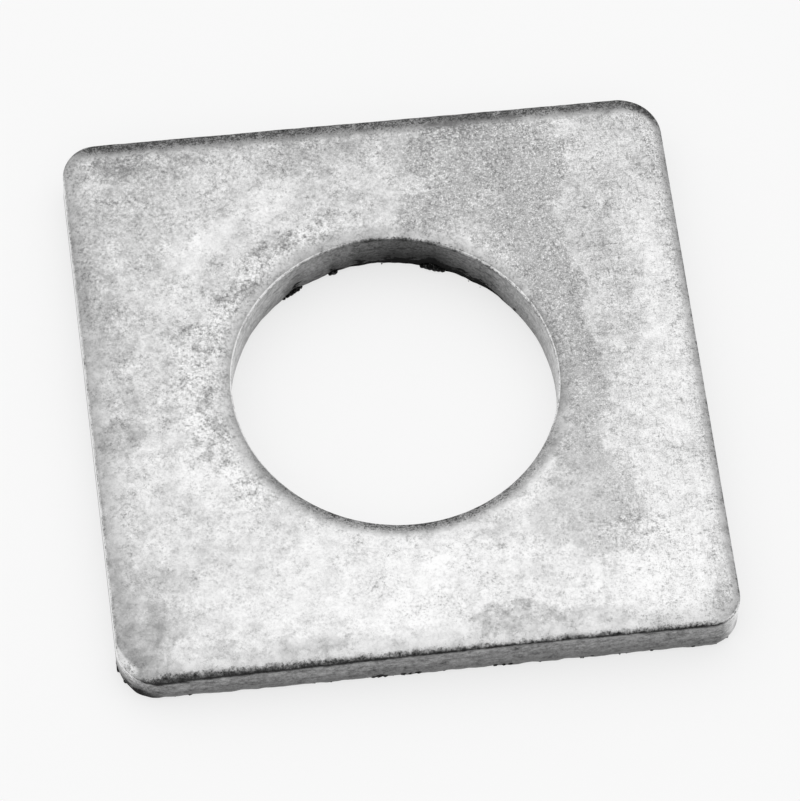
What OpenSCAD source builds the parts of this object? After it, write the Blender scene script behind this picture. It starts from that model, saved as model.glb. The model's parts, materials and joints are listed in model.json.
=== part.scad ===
// Square plate washer, punched and blanked from steel plate.
// The plate lies on its lower face: X and Y run along the sides and Z points up through the bolt hole.
// Each cut edge has the section that a press leaves: rolled over at the top, straight on the land
// where the tool sheared it, and torn at an angle at the foot, where the metal broke away.

/* [Plate] */
// Length of each side of the square, across the land
side = 45; // [32:0.5:80]
// Thickness of the plate
thickness = 4; // [2.5:0.1:8]
// Radius of the corners, seen from above
corner_r = 3.2; // [2.5:0.1:10]

/* [Outer edge] */
// Width of the rolled-over rim, measured in from the wall
edge_roll_w = 2; // [0.4:0.1:2.4]
// Drop of the rolled-over rim at the wall
edge_roll_h = 0.5; // [0.2:0.05:1]
// How far the torn zone leans in at the lower face
edge_tear_w = 0.15; // [0.05:0.05:0.4]
// Height of the torn zone above the lower face
edge_tear_h = 0.8; // [0.3:0.1:1.5]

/* [Bolt hole] */
// Diameter of the hole at its land
hole_d = 24; // [8:0.5:36]
// Width of the rolled-over rim, measured out from the hole
hole_roll_w = 1.8; // [0.4:0.1:2.4]
// Drop of the rolled-over rim at the hole
hole_roll_h = 0.5; // [0.2:0.05:1]
// How far the torn zone widens the hole at the lower face
hole_tear_w = 0.3; // [0.05:0.05:0.5]
// Height of the torn zone above the lower face
hole_tear_h = 1; // [0.4:0.1:1.5]

/* [Hidden] */
$fn = 96;
// Radius of the hole at its land
hole_r = hole_d / 2;
// Straight length of each side between two corners
straight = side - 2 * corner_r;
// Distance that the hole's cutter runs past both faces
overrun = 1;

// Radius of an arc that leaves a flat face smoothly and drops by h over a width w
function roll_radius(w, h) = (w * w + h * h) / (2 * h);

// Half of the plate's section, from the middle out to a wall at the given reach
module edge_section(reach) {
    roll_r = roll_radius(edge_roll_w, edge_roll_h);
    roll_foot = thickness - edge_roll_h;
    polygon([
        [0, 0],
        [reach - edge_tear_w, 0],
        [reach, edge_tear_h],
        [reach, roll_foot],
        [0, roll_foot]
    ]);
    square([reach - edge_roll_w, thickness]);
    intersection() {
        translate([reach - edge_roll_w, thickness - roll_r]) circle(roll_r);
        translate([0, roll_foot]) square([reach, edge_roll_h]);
    }
}

// Half of the bolt hole's section, from its axis out to the wall
module hole_section() {
    roll_r = roll_radius(hole_roll_w, hole_roll_h);
    roll_foot = thickness - hole_roll_h;
    polygon([
        [0, -overrun],
        [hole_r + hole_tear_w, -overrun],
        [hole_r + hole_tear_w, 0],
        [hole_r, hole_tear_h],
        [hole_r, thickness + overrun],
        [0, thickness + overrun]
    ]);
    difference() {
        translate([0, roll_foot]) square([hole_r + hole_roll_w, hole_roll_h + overrun]);
        translate([hole_r + hole_roll_w, thickness - roll_r]) circle(roll_r);
    }
}

// One pair of opposite sides, with the plate between them
module pair_of_sides() {
    rotate([90, 0, 0])
        linear_extrude(straight, center = true) {
            edge_section(side / 2);
            mirror([1, 0]) edge_section(side / 2);
        }
}

// One rounded corner, a quarter turn of the same section
module corner() {
    translate([straight / 2, straight / 2, 0])
        rotate_extrude(angle = 90) edge_section(corner_r);
}

// The blank: two pairs of sides crossing in the middle, and the four corners between them
module blank() {
    for (turn = [0, 90]) rotate(turn) pair_of_sides();
    for (turn = [0, 90, 180, 270]) rotate(turn) corner();
}

module washer() {
    color("silver")
        difference() {
            blank();
            rotate_extrude() hole_section();
        }
}

washer();
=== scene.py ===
"""Square plate washer, zinc-coated steel, lying on a pale floor and seen from above."""
import json
import math
import random

import bpy
from mathutils import Matrix, Vector, noise


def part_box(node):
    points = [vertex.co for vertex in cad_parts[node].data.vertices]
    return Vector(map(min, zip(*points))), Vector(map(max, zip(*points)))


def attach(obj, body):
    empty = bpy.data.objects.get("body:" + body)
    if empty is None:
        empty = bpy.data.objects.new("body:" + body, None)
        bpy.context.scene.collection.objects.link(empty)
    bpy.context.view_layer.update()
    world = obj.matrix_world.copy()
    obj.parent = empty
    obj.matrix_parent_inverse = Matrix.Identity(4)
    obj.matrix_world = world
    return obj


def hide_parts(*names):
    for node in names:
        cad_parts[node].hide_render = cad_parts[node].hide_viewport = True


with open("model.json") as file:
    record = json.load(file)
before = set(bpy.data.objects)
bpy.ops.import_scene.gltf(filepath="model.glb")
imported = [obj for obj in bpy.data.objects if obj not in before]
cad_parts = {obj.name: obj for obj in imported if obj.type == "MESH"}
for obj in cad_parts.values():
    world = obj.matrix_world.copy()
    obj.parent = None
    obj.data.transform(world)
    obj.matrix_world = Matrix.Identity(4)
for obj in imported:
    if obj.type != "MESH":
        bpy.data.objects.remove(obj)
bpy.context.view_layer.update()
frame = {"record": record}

# The plate
# A square blanked from steel plate and punched through the middle by the same stroke of the press.
# The tool rolled the upper edges over, sheared the walls straight, and tore the metal at each cut's foot.

MM = 0.001
plate_low, plate_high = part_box("washer")
half_side = (plate_high.x - plate_low.x) / 2 / MM
thickness = (plate_high.z - plate_low.z) / MM
hole_mount = next(m for m in frame["record"]["mounts"] if m["name"] == "bolt_hole")
hole_radius = hole_mount["dims"]["r_mm"]
# Radius of each corner: front right, rear right, rear left and front left
corner_radii = (2.3, 3.2, 2.6, 3.2)
# Radius of the worn nose between a rolled rim and the sheared wall under it
nose_radius = 0.14
# Steps round the plate, and down each stretch of a cut edge
steps_round = 1200
roll_steps = 8
nose_steps = 5
land_steps = 7
tear_steps = 7
upper_face_steps = 12
lower_face_steps = 4
# Angle between two faces above which the edge between them stays sharp
sharp_angle = math.radians(45)
# A distance in millimetres at which no cut edge is near
FAR = 5.0
# What each point carries for the zinc coat: how far it lies past the rolled rim and past the start of the
# torn zone, half the width of the painted dark line along its rim's crease, how much painted shade darkens
# its foot, the painted light of its wall, how much and how far in its rim is dulled and shaded, and how
# battered it is
edge_marks = (
    "past_roll",
    "past_tear",
    "crease",
    "torn_dark",
    "wall_level",
    "rim_dull",
    "rim_reach",
    "battered",
)
# The same on a flat face, away from the cut edges
flat_marks = (-FAR, -FAR, -FAR, 0.0, 0.0, 0.0, 0.0, 0.0)


def wander(point, wavelength, seed):
    """A smooth random value from about -1 to 1 that drifts over the given wavelength, in millimetres."""
    return noise.noise(Vector((point.x / wavelength, point.y / wavelength, seed)))


def ramp(value, low, high):
    """0 up to low, 1 from high on, and a straight line between them."""
    return min(max((value - low) / (high - low), 0.0), 1.0)


def outline_place(share):
    """Point and outward direction on the rounded square, at a share of the way round from the front left."""
    side, part = divmod(share * 4, 1)
    start_radius = corner_radii[int(side) - 1]
    end_radius = corner_radii[int(side)]
    straight = 2 * half_side - start_radius - end_radius
    along = part * (straight + end_radius * math.pi / 2)
    if along < straight:
        outward = Vector((0, -1))
        point = Vector((start_radius - half_side + along, -half_side))
    else:
        turned = (along - straight) / end_radius
        outward = Vector((math.sin(turned), -math.cos(turned)))
        point = Vector((half_side - end_radius, end_radius - half_side)) + outward * end_radius
    turn = Matrix.Rotation(side * math.pi / 2, 2)
    return turn @ point, turn @ outward


def cut_edge(roll_width, roll_drop, tear_lean, tear_height):
    """Section of a cut edge from the upper face to the foot.

    Each row holds the distance in from the wall, the height, and how far the row lies past the rolled rim
    and past the start of the torn zone, all in millimetres.
    """
    slope = 2 * math.atan(roll_drop / roll_width)
    roll_radius = (roll_width - nose_radius * (1 - math.sin(slope))) / math.sin(slope)
    rows = []
    for step in range(roll_steps):
        tilt = slope * step / roll_steps
        inset = roll_width - roll_radius * math.sin(tilt)
        height = thickness - roll_radius * (1 - math.cos(tilt))
        rows.append((inset, height, -roll_radius * (slope - tilt), -FAR))
    nose_top = thickness - roll_radius * (1 - math.cos(slope))
    for step in range(nose_steps):
        tilt = slope + (math.pi / 2 - slope) * step / nose_steps
        inset = nose_radius * (1 - math.sin(tilt))
        height = nose_top - nose_radius * (math.cos(slope) - math.cos(tilt))
        rows.append((inset, height, nose_radius * (tilt - slope), tear_height - height))
    land_top = nose_top - nose_radius * math.cos(slope)
    nose_length = nose_radius * (math.pi / 2 - slope)
    for step in range(land_steps):
        height = land_top + (tear_height - land_top) * step / land_steps
        rows.append((0.0, height, nose_length + land_top - height, tear_height - height))
    for step in range(tear_steps + 1):
        share = step / tear_steps
        height = tear_height * (1 - share)
        rows.append((tear_lean * share ** 1.5, height, nose_length + land_top - height, tear_height - height))
    return rows


def leftwards(point):
    """0 on the right of the plate, rising to 1 near its left edge."""
    return ramp(-point.x, -6, 20)


def front_sag(point):
    """How far the upper face sags at a point: the blank bent down in front, most at the left corner."""
    edge_sag = 0.85
    corner_sag = 0.9
    near_front = ramp(-point.y, half_side - 7, half_side)
    from_corner = math.hypot(point.x + half_side, point.y + half_side)
    near_corner = 1 - ramp(from_corner, 0, 6)
    return edge_sag * leftwards(point) * near_front ** 2 + corner_sag * near_corner ** 2


def outer_edge(wall, outward):
    """The outline's cut edge at a point, with the marks that it has all the way down."""
    front = max(0.0, -outward.y)
    rear = max(0.0, outward.y)
    right = max(0.0, outward.x)
    left = max(0.0, -outward.x)
    bent_corner = min(1.0, 2 * left * front)
    ripple = 0.05 * wander(wall, 2.2, 3.1) + 0.03 * wander(wall, 0.7, 8.4)
    jags = 0.08 * wander(wall, 1.6, 5.2) + 0.06 * wander(wall, 0.6, 2.2)
    corner_tear = bent_corner * (0.3 + 0.6 * wander(wall, 0.8, 4.9))
    rows = cut_edge(
        roll_width=2.0 - 0.5 * right + 0.15 * wander(wall, 5.0, 1.7),
        roll_drop=0.5 - 0.18 * rear - 0.1 * right + ripple,
        tear_lean=0.2 - 0.1 * bent_corner + jags,
        tear_height=0.8 + 0.25 * wander(wall, 3.0, 6.6) + corner_tear,
    )
    # A dark line painted as shade along the crease under the rim, widest at the front left
    front_dark_line = front ** 10 * (0.26 + 0.28 * leftwards(wall))
    crease = -0.08 + front_dark_line + 0.12 * right * (1 - front) + 0.12 * rear + 0.07 * left
    # Painted shade at the wall's foot, strongest at the bent front left corner
    torn_dark = 0.15 + 0.7 * bent_corner
    # Painted light on the wall: dark on the front, where it stands for shade, and pale on the left and right,
    # where it stands for a reflection of the floor
    wall_level = 0.265 + 0.69 * max(ramp(left, 0.25, 0.95), ramp(right, 0.35, 0.9))
    # The rim dulls a little all round; its extra darkness at the rear and rear right is painted shade, where
    # the rolled rim turns away from the light
    rim_dull = 0.12 * front + 0.2 * right + 0.22 * left + 0.5 * right * rear
    rim_dull = rim_dull + 0.74 * rear * max(rear ** 5, ramp(right, 0, 0.2))
    rim_reach = 2.15 - 1.4 * right ** 2 - 0.5 * rear
    return rows, crease, torn_dark, wall_level, rim_dull, rim_reach, bent_corner


# Where the hole's foot tore out in lumps: degrees round from the right, reach in degrees, and height
torn_lumps = [
    (48, 7, 0.5),
    (58, 4, 0.4),
    (69, 8, 0.7),
    (83, 4, 0.4),
    (96, 3, 0.3),
    (105, 3, 0.5),
    (121, 6, 0.6),
]


def hole_edge(wall):
    """The bolt hole's cut edge at a point, marked in the same way: it tore highest at the rear."""
    outward = wall.normalized()
    degrees = math.degrees(math.atan2(outward.y, outward.x))
    lump = sum(height * (1 - ramp(abs(degrees - at), 0, reach)) for at, reach, height in torn_lumps)
    front = max(0.0, -outward.y)
    rear = max(0.0, outward.y)
    right = max(0.0, outward.x)
    worst_torn = 0.5 + 0.5 * outward.dot(Vector((0.31, 0.95)))
    jags = 0.2 * wander(wall, 2.5, 9.3) + 0.1 * wander(wall, 0.8, 6.1)
    rows = cut_edge(
        roll_width=1.8 + 0.1 * wander(wall, 2.0, 2.3),
        roll_drop=0.35 - 0.17 * outward.y + 0.02 * wander(wall, 0.9, 4.4),
        tear_lean=0.28 + 0.07 * wander(wall, 1.3, 7.9) + 0.05 * wander(wall, 0.5, 3.7),
        tear_height=0.35 + 0.8 * worst_torn ** 14 + lump + jags,
    )
    # A dark line painted as shade along the crease under the hole's rim, widest at its front and rear
    crease = -0.1 + 0.11 * rear ** 4 + 0.2 * front ** 2 + 0.06 * right
    # Painted shade at the hole's foot, darkest at its rear and over the torn lumps
    torn_dark = min(0.2 + 0.8 * worst_torn ** 6 + lump, 1.0)
    off_rear = max(0.0, 1 - outward.dot(Vector((0.17, 0.985))))
    # Painted light on the hole's wall: darkest at its rear, where it stands for shade, and paler round its
    # sides
    wall_level = min(0.09 + 0.58 * off_rear ** 0.7, 0.65)
    # The hole's rim dulls a little all round; its extra darkness at the front is painted shade, where the rim
    # slopes down towards the hole's middle
    rim_dull = 0.12 + 0.47 * front + 0.1 * rear
    rim_reach = 1.5
    battered = 0.0
    return rows, crease, torn_dark, wall_level, rim_dull, rim_reach, battered


def between(start, end, steps):
    """Rows across a flat face, between two rows that are there already."""
    for step in range(1, steps):
        yield start.lerp(end, step / steps), *flat_marks


def plate_column(share):
    """One closed section of the plate: down its outside, under it, up through the hole and back over it."""
    wall, outward = outline_place(share)
    hole_outward = wall.normalized()
    hole_wall = hole_outward * hole_radius
    rows, *marks = outer_edge(wall, outward)
    outside = [
        (Vector((*(wall - outward * inset), height)), past_roll, past_tear, *marks)
        for inset, height, past_roll, past_tear in rows
    ]
    rows, *marks = hole_edge(hole_wall)
    inside = [
        (Vector((*(hole_wall + hole_outward * inset), height)), past_roll, past_tear, *marks)
        for inset, height, past_roll, past_tear in reversed(rows)
    ]
    under = between(outside[-1][0], inside[0][0], lower_face_steps)
    over = between(inside[-1][0], outside[0][0], upper_face_steps)
    column = [*outside, *under, *inside, *over]
    for row in column:
        row[0].z *= 1 - front_sag(row[0]) / thickness
    return column


columns = [plate_column(number / steps_round) for number in range(steps_round)]
rows_down = len(columns[0])
faces = []
for number in range(steps_round):
    here = number * rows_down
    there = (number + 1) % steps_round * rows_down
    for row in range(rows_down):
        after = (row + 1) % rows_down
        faces.append((here + row, here + after, there + after, there + row))
plate_mesh = bpy.data.meshes.new("plate")
plate_mesh.from_pydata([row[0] * MM for column in columns for row in column], [], faces)
for index, name in enumerate(edge_marks, start=1):
    mark = plate_mesh.attributes.new(name, "FLOAT", "POINT")
    mark.data.foreach_set("value", [row[index] for column in columns for row in column])
plate_mesh.shade_smooth()
plate_mesh.set_sharp_from_angle(angle=sharp_angle)
plate = bpy.data.objects.new("plate", plate_mesh)
bpy.context.scene.collection.objects.link(plate)


class Wire:
    """A value in a node tree. Arithmetic on wires adds Math nodes, and add() makes any other node."""

    def __init__(self, tree, socket=None):
        self.tree = tree
        self.socket = socket

    def add(self, kind, settings=None, sockets=None, output=0):
        """Makes a node, sets it up, fills or links its sockets and gives one of its outputs."""
        node = self.tree.nodes.new(kind)
        for name, value in (settings or {}).items():
            setattr(node, name, value)
        for key, value in (sockets or {}).items():
            if isinstance(value, Wire):
                self.tree.links.new(value.socket, node.inputs[key])
            else:
                node.inputs[key].default_value = value
        return Wire(self.tree, node.outputs[output]) if node.outputs else None

    def math(self, operation, first, second=0.0):
        return self.add("ShaderNodeMath", {"operation": operation}, {0: first, 1: second})

    def __add__(self, other):
        return self.math("ADD", self, other)

    def __sub__(self, other):
        return self.math("SUBTRACT", self, other)

    def __rsub__(self, other):
        return self.math("SUBTRACT", other, self)

    def __mul__(self, other):
        return self.math("MULTIPLY", self, other)

    __radd__ = __add__
    __rmul__ = __mul__

    def __abs__(self):
        return self.math("ABSOLUTE", self)

    def rise(self, low, high):
        """0 up to low, 1 from high on, and a smooth rise between them."""
        settings = {"interpolation_type": "SMOOTHSTEP"}
        return self.add("ShaderNodeMapRange", settings, {"Value": self, "From Min": low, "From Max": high})

    def towards(self, other, share):
        """Goes from this value to another as share goes from 0 to 1."""
        return self.add("ShaderNodeMix", {"data_type": "FLOAT"}, {"Factor": share, "A": self, "B": other})

    def vector(self, operation, **sockets):
        """A Vector Math node on this wire, with its second value or its scale given by name."""
        values = {0: self}
        if "by" in sockets:
            values["Scale"] = sockets["by"]
        if "other" in sockets:
            values[1] = sockets["other"]
        output = "Value" if operation in ("LENGTH", "DOT_PRODUCT") else "Vector"
        return self.add("ShaderNodeVectorMath", {"operation": operation}, values, output)

    def grain(self, per_mm, detail=3.0, roughness=0.55, output="Fac"):
        """A cloudy random value about 0.5, read at this wire's place in millimetres."""
        sockets = {"Vector": self, "Scale": per_mm, "Detail": detail, "Roughness": roughness}
        return self.add("ShaderNodeTexNoise", None, sockets, output)

    def stretched(self, scale):
        """This wire's place with each axis scaled, so that a pattern runs in streaks."""
        return self.add("ShaderNodeMapping", {"vector_type": "POINT"}, {"Vector": self, "Scale": scale})

    def flakes(self, per_mm):
        """A random value from 0 to 1 for each flake of a crazed surface."""
        cells = {"Vector": self, "Scale": per_mm}
        return self.add("ShaderNodeTexVoronoi", None, cells, "Color").vector("DOT_PRODUCT", other=(1, 0, 0))

    def patch(self, x, y, across, along, turn, edge):
        """1 inside an oval on the upper face, 0 outside, over an edge that is a share of its size."""
        sockets = {
            "Vector": self,
            "Location": (x, y, thickness),
            "Rotation": (0, 0, math.radians(turn)),
            "Scale": (across, along, FAR),
        }
        local = self.add("ShaderNodeMapping", {"vector_type": "TEXTURE"}, sockets)
        return 1.0 - local.vector("LENGTH").rise(1 - edge, 1 + edge)


# The broad dull zone where the zinc froze slowly, from the rear edge round the right of the hole. Its ovals
# join without adding up: place in millimetres, reach across and along, turn in degrees, softness of the edge,
# and how dull
dull_zone = [
    (8.8, 17.4, 6.4, 4.8, 0, 0.12, 0.35),
    (4, 13.6, 2.4, 1.4, 0, 0.25, 0.3),
    (10.8, 11, 3.2, 4.4, -10, 0.15, 0.37),
    (12.6, 5, 2.1, 6.0, 0, 0.15, 0.47),
    (13.2, -1, 2.0, 5.5, 0, 0.2, 0.47),
    (12.7, -7.4, 2.0, 2.4, 0, 0.15, 0.43),
    (13.2, -11.4, 3.3, 4.9, 0, 0.12, 0.32),
    (9.6, -13.2, 1.8, 1.6, 0, 0.2, 0.2),
]
# Smaller patches where it dulled more, or stayed bright (below zero)
frozen_patches = [
    # Rear right
    (6.2, 20.6, 2.8, 1.4, 0, 0.25, 0.12),
    (10.4, 17, 1.6, 2.0, 0, 0.4, 0.08),
    (16.2, 6, 2.4, 10, 0, 0.3, 0.15),
    (3.4, 16.4, 1.2, 0.7, -20, 0.3, -0.35),
    (20.6, 17.5, 1.2, 3.0, 0, 0.3, 0.15),
    # Right of the hole
    (8.8, 9.0, 0.7, 2.2, 45, 0.5, -0.34),
    (20.2, 2, 1.2, 11, 0, 0.3, -0.15),
    # Front right
    (14.2, -12.2, 2.0, 1.8, 0, 0.15, 0.06),
    (5.8, -13.8, 1.5, 1.0, 0, 0.2, 0.15),
    (6.2, -20.6, 3.4, 1.2, 0, 0.15, 0.36),
    (11.5, -20.9, 3.0, 0.7, 0, 0.2, 0.25),
    (17.5, -17.5, 4.0, 3.0, 0, 0.35, -0.15),
    # Front
    (-3.5, -16.5, 9.5, 4.2, 0, 0.5, -0.13),
    (-2, -18.5, 1.1, 0.8, 0, 0.3, -0.2),
    (1.2, -15.6, 1.2, 0.9, 0, 0.3, -0.3),
    (-9, -21, 4.0, 0.7, 0, 0.3, 0.25),
    (-15.8, -20.8, 1.8, 0.6, 0, 0.25, 0.3),
    # Front left
    (-20.8, -16.5, 2.0, 5.0, 0, 0.25, 0.34),
    (-18.6, -18.3, 1.6, 1.6, 0, 0.3, 0.3),
    (-17.6, -15.2, 1.6, 1.2, 0, 0.3, 0.25),
    (-14, -7.5, 2.2, 3.4, 35, 0.3, -0.2),
    # Left
    (-20.2, -3, 1.6, 1.6, 0, 0.2, 0.35),
    (-20.4, 1, 1.8, 1.6, -15, 0.25, 0.28),
    (-20.4, 4.4, 1.6, 1.6, 0, 0.3, 0.22),
    (-20.8, 9.5, 1.4, 3.5, 0, 0.3, 0.18),
    # Round the hole, left
    (-13.7, 4.3, 1.2, 1.0, 0, 0.2, 0.2),
    (-13.4, -4.8, 0.9, 1.5, 20, 0.2, 0.15),
    (-13.6, -0.5, 1.2, 3.6, 0, 0.25, 0.04),
    (-10.4, 8.7, 1.0, 1.3, -35, 0.2, 0.3),
    (-7, 12.3, 1.6, 1.0, 25, 0.2, 0.3),
    (-12.8, 12.5, 3.4, 1.2, 45, 0.4, -0.3),
    (-8, 16, 3.0, 1.2, 30, 0.4, -0.24),
    # Front corners
    (-20.6, -20.4, 2.2, 2.4, 45, 0.3, 0.3),
    (21.4, -18.5, 0.8, 3.6, 0, 0.3, 0.3),
    (20.8, -20.6, 1.0, 1.2, 0, 0.3, 0.25),
    # Rear
    (0, 20.9, 20, 0.8, 0, 0.4, 0.1),
    (-18.6, 19.9, 2.8, 1.2, 0, 0.25, 0.3),
    (-15, 20, 4.0, 1.2, 0, 0.25, 0.15),
    (-4, 19.6, 5.0, 1.6, 0, 0.25, 0.15),
    (-17.5, 16.5, 3.5, 2.5, 0, 0.3, 0.08),
]
# Where gas left the zinc pitted as it froze: place, reach across and along, and turn
pitted_patches = [
    (-4.6, 13.2, 2.4, 1.0, 20),
    (-8.9, 10.4, 2.4, 1.3, 42),
    (-12, 7, 2.2, 1.2, 60),
    (-14, 3.8, 2.0, 2.2, 15),
    (-14.6, 0, 1.8, 2.4, 0),
    (-13.8, -4, 1.6, 2.4, 15),
    (-12, -7.6, 1.0, 1.8, 40),
    (15.5, -14.5, 2.6, 1.4, 0),
]


def zinc_coat():
    """Zinc over steel: bright where it froze smooth, grey where it dulled, with painted shade and highlights
    at the edges.
    """
    material = bpy.data.materials.new("zinc_coat")
    material.use_nodes = True
    tree = material.node_tree
    tree.nodes.clear()
    start = Wire(tree)
    place = start.add("ShaderNodeTexCoord", None, None, "Object").vector("SCALE", by=1 / MM)
    past_roll, past_tear, crease, torn_dark, wall_level, rim_dull, rim_reach, battered = (
        start.add("ShaderNodeAttribute", {"attribute_name": name}, None, "Fac") for name in edge_marks
    )

    # The patches, with ragged outlines, the smooth front left, and a painted shade that drifts darker to the
    # rear left
    stray = place.grain(0.7, 6.0, 0.7, "Color").vector("SUBTRACT", other=(0.5, 0.5, 0.5))
    stray = stray.vector("SCALE", by=4.2)
    strayed = place.vector("ADD", other=stray)
    mottle = place.grain(1.3, 4.0, 0.65)
    speckle = place.grain(4.6, 4.0, 0.8)
    dust = place.grain(9.0, 2.0, 0.7)
    rearwards = place.vector("DOT_PRODUCT", other=(0, 0.02, 0))
    rightmost = place.vector("DOT_PRODUCT", other=(1, 0, 0)).rise(12, 17)
    zone = 0.0
    for x, y, across, along, turn, edge, dullness in dull_zone:
        zone = start.math("MAXIMUM", strayed.patch(x, y, across, along, turn, edge) * dullness, zone)
    smooth = place.patch(-12.5, -17.5, 9, 6, 0, 0.4)
    calm = 1.0 - zone.rise(0.05, 0.25) * 0.55 - smooth * 0.2
    # The slope added to the dull zone here is painted shade: the upper face darker towards the rear left
    dull_and_shade = zone + place.vector("DOT_PRODUCT", other=(-0.003, 0.008, 0))
    for x, y, across, along, turn, edge, dullness in frozen_patches:
        dull_and_shade = dull_and_shade + strayed.patch(x, y, across, along, turn, edge) * dullness
    pitted = 0.0
    for x, y, across, along, turn in pitted_patches:
        pitted = strayed.patch(x, y, across, along, turn, 0.4) + pitted

    # Flakes of frost on the grey zinc, clouds and wisps, the grey veins between them, and pits
    bent = place.vector("ADD", other=place.grain(2.5, 3.0, 0.7, "Color").vector("SCALE", by=0.5))
    flakes = bent.flakes(2.4) * 0.5 + bent.flakes(5.0) * 0.5 - 0.5
    clouds = place.grain(0.9, 4.0, 0.72) - 0.5
    wisps = strayed.grain(0.3, 6.0, 0.75) - 0.5
    busy = place.grain(0.5, 3.0, 0.6).rise(0.36, 0.62)
    flecks = (0.44 - place.grain(2.3, 3.0, 0.8)).rise(0.0, 0.08) * busy * (1.0 - smooth * 0.5)
    vein = place.grain(1.5, 2.0, 0.5)
    veins = (1.0 - abs(vein - 0.5).rise(0.004, 0.022)) * mottle.rise(0.46, 0.6)
    cells = {"Vector": bent, "Scale": 1.7}
    pit_gap = start.add("ShaderNodeTexVoronoi", None, cells, "Distance")
    pits = (1.0 - pit_gap.rise(0.1, 0.3)) * bent.flakes(1.7).rise(0.3, 0.6) * (0.2 + pitted)
    grey = 0.44 + dull_and_shade * 0.6 + (wisps * 0.65 + clouds * (0.88 - rearwards * 0.4)) * calm + flakes * 0.15
    grey = grey + pitted * start.math("MAXIMUM", clouds, 0.0) * 1.5
    grey = grey + pits * 0.18 + veins * 0.14 + flecks * 0.16

    # Grit and dust in the grain, the zone's glints, and fine scratches on the right
    near_rim = past_roll.rise(-2.0, -0.4)
    grit = 0.75 + busy * 0.75 - smooth * 0.25 + pitted * 1.3 + rearwards * (dull_and_shade * 3.6 + 0.15)
    grit = grit + near_rim * (0.6 + rearwards * 1.2)
    dusty = 0.2 + rightmost * 0.9 + zone * (1.0 + rearwards * 4.0) + near_rim * (0.5 + rearwards)
    glints = (dust * 0.5 + speckle * 0.5).rise(0.53, 0.66) * zone * (0.4 + rearwards * 0.8)
    grey = grey + (0.5 - speckle) * grit + (0.5 - dust) * dusty - glints
    lengthwise = place.stretched((2.6, 0.5, 1.0)).grain(1.6, 3.0, 0.7)
    crosswise = place.stretched((0.5, 2.6, 1.0)).grain(1.6, 3.0, 0.7)
    scratches = (0.4 - lengthwise).rise(0.0, 0.05) + (0.4 - crosswise).rise(0.0, 0.05)
    grey = grey + scratches * rightmost * 0.2
    bright_zinc = 0.92
    dull_zinc = 0.24
    tone = bright_zinc - grey.rise(-0.05, 1.25) * (bright_zinc - dull_zinc)

    # The rolled rims are duller, with painted shade that is deepest at the rear, and a thin painted shade
    # beside the painted highlight on their edge
    lined = (0.03 - crease).rise(0.0, 0.07)
    specked = 1.2 * mottle + 5.6 * speckle + 3.5 * dust - 4.15
    dimmed = past_roll.rise(0.0 - rim_reach, -0.25) * rim_dull * specked
    tone = tone * start.math("MAXIMUM", 1.0 - dimmed, 0.1)
    tone = tone * (1.0 - past_roll.rise(-0.4, -0.08) * lined * 0.16)

    # The walls, streaked and blotched along the cut, with painted light that differs by side, painted shade
    # darkening them towards the foot, and a painted highlight along the top edge
    ragged = (speckle - 0.5) + (mottle - 0.5) * 0.5
    streaks = place.stretched((0.5, 0.5, 4.0)).grain(1.2, 5.0, 0.65) - 0.5
    blotches = place.stretched((1.0, 1.0, 1.6)).grain(1.1, 4.0, 0.75) - 0.5
    uneven = 1.2 - wall_level + battered * 0.7
    wall_tone = wall_level * (1.0 + (streaks * 1.2 + blotches * 2.8 + (speckle - 0.5) * 3.2) * uneven)
    # Painted shade: each wall darker towards its foot
    wall_tone = wall_tone * (1.0 - past_tear.rise(-2.6, 0.3) * uneven * (0.36 + 0.42 * torn_dark))
    # Painted shade in dark dashes at the foot of the pale side walls
    foot = (past_tear + ragged * 1.2 + streaks * 2.4 + blotches * 2.0).rise(-1.5, -0.5)
    wall_tone = wall_tone * (1.0 - foot * wall_level.rise(0.7, 0.95) * (0.3 + 0.6 * speckle))
    fray = ragged * 0.45 + (dust - 0.5) * 0.5
    on_wall = (past_roll + fray + torn_dark * 0.14).rise(0.04, 0.2)
    # Gaps that break the painted highlight at the bent corner into glints
    highlight_gaps = (blotches + ragged * 0.7 + 0.02).rise(0.0, 0.12) * battered
    # A painted highlight along the top edge of each wall, white and not metallic
    highlight_off = abs(past_roll - 0.1 + battered * 0.15)
    rim_highlight = (1.0 - highlight_off.rise(0.07 + battered * 0.2, 0.16 + battered * 0.45)) * lined * (1.0 - highlight_gaps)
    highlight_white = 0.98
    tone = tone.towards(wall_tone, on_wall).towards(highlight_white, rim_highlight)

    # Painted shade in matt black: at the torn foot of each wall, darkest at the hole's rear, as a ragged dark
    # line and dashes along the crease under each rolled rim, and in blotches on the shaded walls
    torn = (past_tear + ragged * 1.6 + streaks * 2.2 + blotches * 3.0).rise(-0.1, 0.15) * torn_dark
    under_rim = past_roll - 0.16
    reach = crease + wisps * 0.5 - start.math("MAXIMUM", under_rim * -1.0, under_rim * 1.4)
    # A soft painted shade round the dark line, and the line itself, ragged, with dashes on the nose
    crease_shade_halo = (reach + 0.3 + ragged * 1.5).rise(0.0, 0.55) * (0.4 + 1.2 * speckle)
    crease_shade_line = (reach + ragged * 0.9).rise(-0.26, 0.24) * (0.1 + 0.6 * mottle + 1.2 * speckle)
    dashes = (0.1 - abs(past_roll - 0.2) + streaks * 0.8 + blotches * 0.8).rise(0.0, 0.2)
    dashes = dashes * crease.rise(0.05, 0.2)
    # Dark blotches of painted shade on the walls where the foot is shaded most
    shade_blotches = (streaks + blotches * 1.3 - 0.06).rise(0.0, 0.14) * on_wall * torn_dark.rise(0.2, 1.0)
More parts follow.
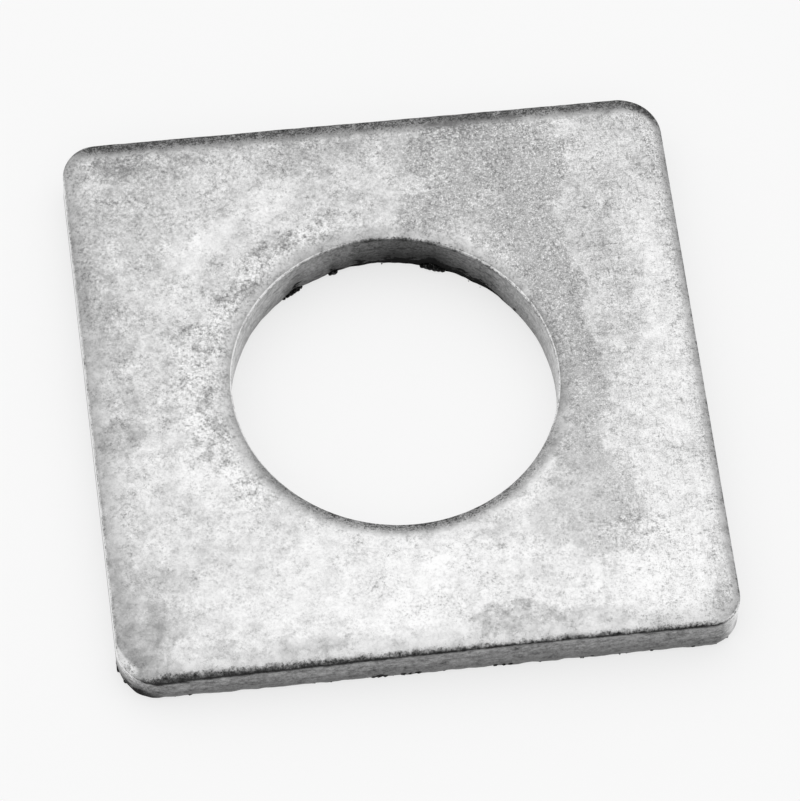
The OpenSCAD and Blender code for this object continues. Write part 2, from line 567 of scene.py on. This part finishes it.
    # The mask of all this matt black painted shade, which also makes it rough and not metallic
    scale = 1.0 - (1.0 - torn) * (1.0 - crease_shade_line * 0.82) * (1.0 - dashes * 0.6) * (1.0 - shade_blotches * 0.55)
    shade_black = 0.005 + 0.025 * speckle
    tone = (tone * (1.0 - crease_shade_halo * 0.46)).towards(shade_black, scale)
    roughness = (0.38 + grey * 0.12).towards(0.42, on_wall).towards(0.75, scale)

    relief = speckle * 0.6 + mottle * 0.8
    normal = start.add("ShaderNodeBump", None, {"Strength": 0.3, "Distance": 0.03 * MM, "Height": relief})
    shader = start.add(
        "ShaderNodeBsdfPrincipled",
        None,
        {
            "Base Color": tone,
            "Metallic": (1.0 - scale) * (1.0 - rim_highlight),
            "Roughness": roughness,
            "Specular IOR Level": 0.0,
            "Normal": normal,
        },
    )
    start.add("ShaderNodeOutputMaterial", None, {"Surface": shader})
    return material


plate_mesh.materials.append(zinc_coat())
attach(plate, "root")
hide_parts("washer")

# The burrs
# Crumbs of torn steel that still hang on the lower edges, where the tool broke out of the plate.
# Nobody ground them off, and they are coloured nearly black.

# Large burrs along the front's foot: place along it in millimetres, and size
front_foot = -22.25
burrs_in_front = [
    (-17.5, 0.2),
    (-4.2, 0.26),
    (-3.8, 0.4),
    (-3.4, 0.26),
    (-2.1, 0.28),
    (-1.6, 0.24),
    (-1.0, 0.3),
    (0.9, 0.15),
    (4.6, 0.22),
    (5.2, 0.24),
    (5.7, 0.26),
    (11.7, 0.18),
    (16.0, 0.2),
    (19.0, 0.22),
]
# At the front left corner and along the right wall's foot: place in millimetres, and size
burrs_beside = [
    (-22.3, -19.3, 0.26),
    (-22.3, -19.8, 0.36),
    (-21.9, -20.8, 0.2),
    (-21.1, -21.6, 0.26),
    (-20.7, -21.85, 0.22),
    (22.25, -15.3, 0.2),
    (22.25, -1.8, 0.2),
]
# And round the hole's foot: degrees round from the right, and size
burrs_in_hole = [
    (65.5, 0.2),
    (67, 0.28),
    (68.4, 0.34),
    (70, 0.36),
    (71.5, 0.3),
    (73, 0.2),
    (104, 0.16),
    (105, 0.24),
    (106, 0.16),
    (118, 0.16),
    (119.5, 0.22),
    (121, 0.26),
    (122.5, 0.26),
    (124, 0.2),
    (125.5, 0.14),
]
# Small ones all round by chance, the seeds of their places and turns, and how jagged all burrs are
small_burrs = 90
burr_seed = 24
turn_seed = 5
burr_jag = 0.22
chance = random.Random(burr_seed)
burr_spots = [(Vector((x, front_foot)), size) for x, size in burrs_in_front]
burr_spots += [(Vector((x, y)), size) for x, y, size in burrs_beside]
for degrees, size in burrs_in_hole:
    burr_spots.append((Matrix.Rotation(math.radians(degrees), 2) @ Vector((hole_radius + 0.1, 0)), size))
for number in range(small_burrs):
    size = chance.uniform(0.04, 0.1)
    if number % 5:
        wall, outward = outline_place(chance.random())
        burr_spots.append((wall - outward * chance.uniform(0.15, 0.25), size))
    else:
        turn = chance.uniform(0, math.tau)
        spot = Vector((math.cos(turn), math.sin(turn))) * (hole_radius + chance.uniform(0.1, 0.25))
        burr_spots.append((spot, size * 0.6))
spots_mesh = bpy.data.meshes.new("burr_spots")
spots_mesh.from_pydata([Vector((*spot, 1.3 * size)) * MM for spot, size in burr_spots], [], [])
spot_sizes = spots_mesh.attributes.new("burr_size", "FLOAT", "POINT")
spot_sizes.data.foreach_set("value", [size * MM for spot, size in burr_spots])


def burr_steel():
    """Torn steel, nearly black, with a few paler grains."""
    material = bpy.data.materials.new("burr_steel")
    material.use_nodes = True
    material.node_tree.nodes.clear()
    start = Wire(material.node_tree)
    place = start.add("ShaderNodeTexCoord", None, None, "Object").vector("SCALE", by=1 / MM)
    grains = place.grain(5.0, 3.0, 0.7)
    tone = 0.01 + 0.12 * grains.rise(0.5, 0.75)
    shader = start.add(
        "ShaderNodeBsdfPrincipled",
        None,
        {"Base Color": tone, "Metallic": 1.0, "Roughness": 0.5 + 0.3 * grains},
    )
    start.add("ShaderNodeOutputMaterial", None, {"Surface": shader})
    return material


burr_tree = bpy.data.node_groups.new("burr_maker", "GeometryNodeTree")
burr_tree.interface.new_socket("Geometry", in_out="INPUT", socket_type="NodeSocketGeometry")
jag_input = burr_tree.interface.new_socket("Jaggedness", in_out="INPUT", socket_type="NodeSocketFloat")
steel_input = burr_tree.interface.new_socket("Steel", in_out="INPUT", socket_type="NodeSocketMaterial")
burr_tree.interface.new_socket("Geometry", in_out="OUTPUT", socket_type="NodeSocketGeometry")
maker = Wire(burr_tree)
spots, jaggedness, steel = (
    Wire(burr_tree, socket) for socket in list(burr_tree.nodes.new("NodeGroupInput").outputs)[:3]
)
crumb = maker.add("GeometryNodeMeshIcoSphere", None, {"Radius": 1.0, "Subdivisions": 2})
crumb_size = maker.add("GeometryNodeInputNamedAttribute", {"data_type": "FLOAT"}, {"Name": "burr_size"})
crumb_turn = maker.add(
    "FunctionNodeRandomValue", {"data_type": "FLOAT_VECTOR"}, {1: (math.tau,) * 3, "Seed": turn_seed}, "Value"
)
crumbs = maker.add(
    "GeometryNodeInstanceOnPoints",
    None,
    {"Points": spots, "Instance": crumb, "Rotation": crumb_turn, "Scale": crumb_size},
)
crumbs = maker.add("GeometryNodeRealizeInstances", None, {"Geometry": crumbs})
crumb_place = maker.add("GeometryNodeInputPosition").vector("SCALE", by=1 / MM)
jag = crumb_place.grain(3.0, 2.0, 0.6, "Color").vector("SUBTRACT", other=(0.5, 0.5, 0.5))
jag = jag.vector("SCALE", by=jaggedness)
crumbs = maker.add("GeometryNodeSetPosition", None, {"Geometry": crumbs, "Offset": jag})
crumbs = maker.add("GeometryNodeSetMaterial", None, {"Geometry": crumbs, "Material": steel})
maker.add("NodeGroupOutput", None, {0: crumbs})
seed_object = bpy.data.objects.new("burr_spots", spots_mesh)
bpy.context.scene.collection.objects.link(seed_object)
burr_modifier = seed_object.modifiers.new("burrs", "NODES")
burr_modifier.node_group = burr_tree
burr_modifier[jag_input.identifier] = burr_jag * MM
burr_modifier[steel_input.identifier] = burr_steel()
evaluated = seed_object.evaluated_get(bpy.context.evaluated_depsgraph_get())
burr_mesh = bpy.data.meshes.new_from_object(evaluated)
burr_mesh.name = "burrs"
for corner in burr_mesh.vertices:
    corner.co = [min(max(at, low), high) for at, low, high in zip(corner.co, plate_low, plate_high)]
bpy.data.objects.remove(seed_object)
burrs = bpy.data.objects.new("burrs", burr_mesh)
bpy.context.scene.collection.objects.link(burrs)
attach(burrs, "root")

# The floor
# A sheet of matt white card that the washer lies on.

floor_radius = 3.0
floor_corners = 64
card_white = (0.962, 0.962, 0.962, 1)
# Share of the card's own light where it is seen, which keeps it pale; the rest shows the washer's shadow
glow_share = 0.7
floor_mesh = bpy.data.meshes.new("floor")
floor_rim = [
    (floor_radius * math.cos(turn), floor_radius * math.sin(turn), 0)
    for turn in (number * math.tau / floor_corners for number in range(floor_corners))
]
floor_mesh.from_pydata(floor_rim, [], [tuple(range(floor_corners))])
floor = bpy.data.objects.new("floor", floor_mesh)
bpy.context.scene.collection.objects.link(floor)
card = bpy.data.materials.new("white_card")
card.use_nodes = True
card.node_tree.nodes.clear()
card_wire = Wire(card.node_tree)
card_shader = card_wire.add("ShaderNodeBsdfDiffuse", None, {"Color": card_white})
card_glow = card_wire.add("ShaderNodeEmission", None, {"Color": card_white, "Strength": 1.0})
seen = sum(
    card_wire.add("ShaderNodeLightPath", None, None, ray)
    for ray in ("Is Camera Ray", "Is Glossy Ray", "Is Transmission Ray")
)
card_mix = card_wire.add("ShaderNodeMixShader", None, {0: seen * glow_share, 1: card_shader, 2: card_glow})
card_wire.add("ShaderNodeOutputMaterial", None, {"Surface": card_mix})
floor_mesh.materials.append(card)

# The light
# A white studio tent, brightest overhead and a little to the rear left, and dim at the foot.

room_level = 0.3
tent_level = 0.83
# The tent's middle, round from the rear and up from the floor
tent_turn = math.radians(-30)
tent_height = math.radians(78)
# Angles from its middle at which it starts to fade, and is gone
tent_full = math.radians(20)
tent_gone = math.radians(100)
world = bpy.data.worlds.new("studio")
bpy.context.scene.world = world
world.use_nodes = True
world.node_tree.nodes.clear()
sky = Wire(world.node_tree)
look = sky.add("ShaderNodeTexCoord", None, None, "Generated")
tent_middle = (
    math.sin(tent_turn) * math.cos(tent_height),
    math.cos(tent_turn) * math.cos(tent_height),
    math.sin(tent_height),
)
nearness = look.vector("DOT_PRODUCT", other=tent_middle)
level = room_level + tent_level * nearness.rise(math.cos(tent_gone), math.cos(tent_full))
background = sky.add("ShaderNodeBackground", None, {"Color": level, "Strength": 1.0})
sky.add("ShaderNodeOutputWorld", None, {"Surface": background})

# The camera
# A long lens looking down on the plate, turned a little to its left.

camera_data = bpy.data.cameras.new("camera")
camera = bpy.data.objects.new("camera", camera_data)
bpy.context.scene.collection.objects.link(camera)
camera_data.sensor_fit = "HORIZONTAL"
camera_data.sensor_width = 36.0
camera_data.lens = 277.46
azimuth = math.radians(-10.007)
elevation = math.radians(59.813)
roll = math.radians(3.419)
distance = 454.81 * MM
aim = Vector((0.497, 0.335, 0)) * MM
back = Vector((
    math.sin(azimuth) * math.cos(elevation),
    -math.cos(azimuth) * math.cos(elevation),
    math.sin(elevation),
))
right = Vector((0, 0, 1)).cross(back).normalized()
up = back.cross(right)
tilted_right = right * math.cos(roll) + up * math.sin(roll)
tilted_up = up * math.cos(roll) - right * math.sin(roll)
camera.matrix_world = Matrix.Translation(aim + back * distance) @ Matrix(
    (tilted_right, tilted_up, back)
).transposed().to_4x4()
camera_data.clip_start = 0.05
camera_data.clip_end = 10
bpy.context.scene.camera = camera
bpy.context.scene.view_settings.view_transform = "Standard"
